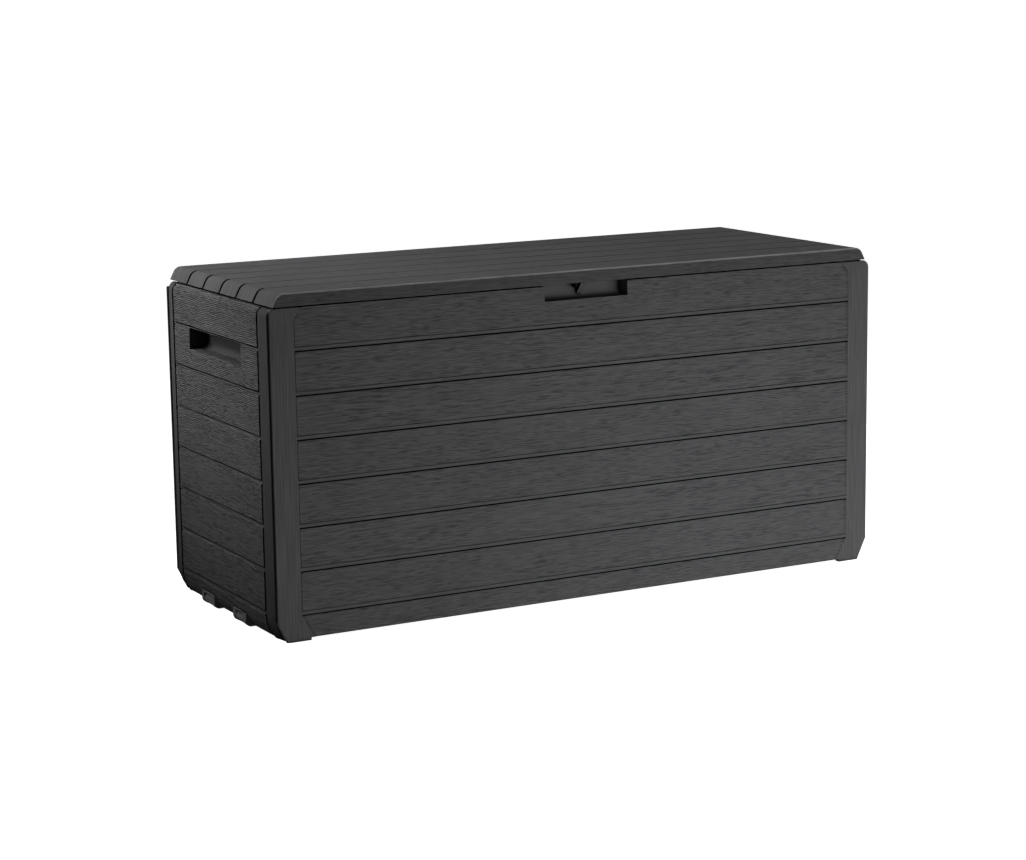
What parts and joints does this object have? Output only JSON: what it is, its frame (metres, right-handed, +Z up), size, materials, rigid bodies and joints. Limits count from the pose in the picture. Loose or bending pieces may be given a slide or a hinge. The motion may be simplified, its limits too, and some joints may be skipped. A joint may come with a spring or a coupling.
{
  "type": "outdoor storage box",
  "caption": "Moulded resin outdoor storage box with a plank pattern, a lid hinged along its rear edge, hand recesses and small wheels under its left end.",
  "frame": {"origin": "bottom centre of the box, on the ground under the middle of its feet", "axes": "+X along the length to the right as seen from the front, +Y from the front to the hinge side, +Z up"},
  "size_m": [1.175, 0.447, 0.572],
  "materials": {
    "resin_panel": "moulded wood grain, matte anthracite",
    "resin_lid": "moulded wood grain, matte anthracite",
    "resin_floor": "plain fine texture, matte anthracite",
    "resin_fittings": "plain, satin dark grey",
    "wheel_plastic": "plain, matte black"
  },
  "bodies": {
    "box": {"front_panel": "resin_panel", "rear_panel": "resin_panel", "left_end_panel": "resin_panel", "right_end_panel": "resin_panel", "floor_panel": "resin_floor", "hinge_pin_left": "resin_fittings", "hinge_pin_middle": "resin_fittings", "hinge_pin_right": "resin_fittings", "wheel_housing_front": "resin_fittings", "wheel_housing_rear": "resin_fittings", "wheel_axle_front": "resin_fittings", "wheel_axle_rear": "resin_fittings"},
    "lid": {"lid": "resin_lid"},
    "wheel_front": {"wheel_front": "wheel_plastic"},
    "wheel_rear": {"wheel_rear": "wheel_plastic"}
  },
  "joints": [
    {"name": "lid_hinge", "type": "hinge", "parent": "box", "child": "lid", "pos_m": [0, 0.2155, 0.549], "axis": [-1, 0, 0], "range_deg": [0, 100]},
    {"name": "wheel_front_spin", "type": "hinge", "parent": "box", "child": "wheel_front", "pos_m": [-0.5771, -0.07, 0.0124], "axis": [0, 1, 0], "continuous": true},
    {"name": "wheel_rear_spin", "type": "hinge", "parent": "box", "child": "wheel_rear", "pos_m": [-0.5771, 0.07, 0.0124], "axis": [0, 1, 0], "continuous": true}
  ]
}
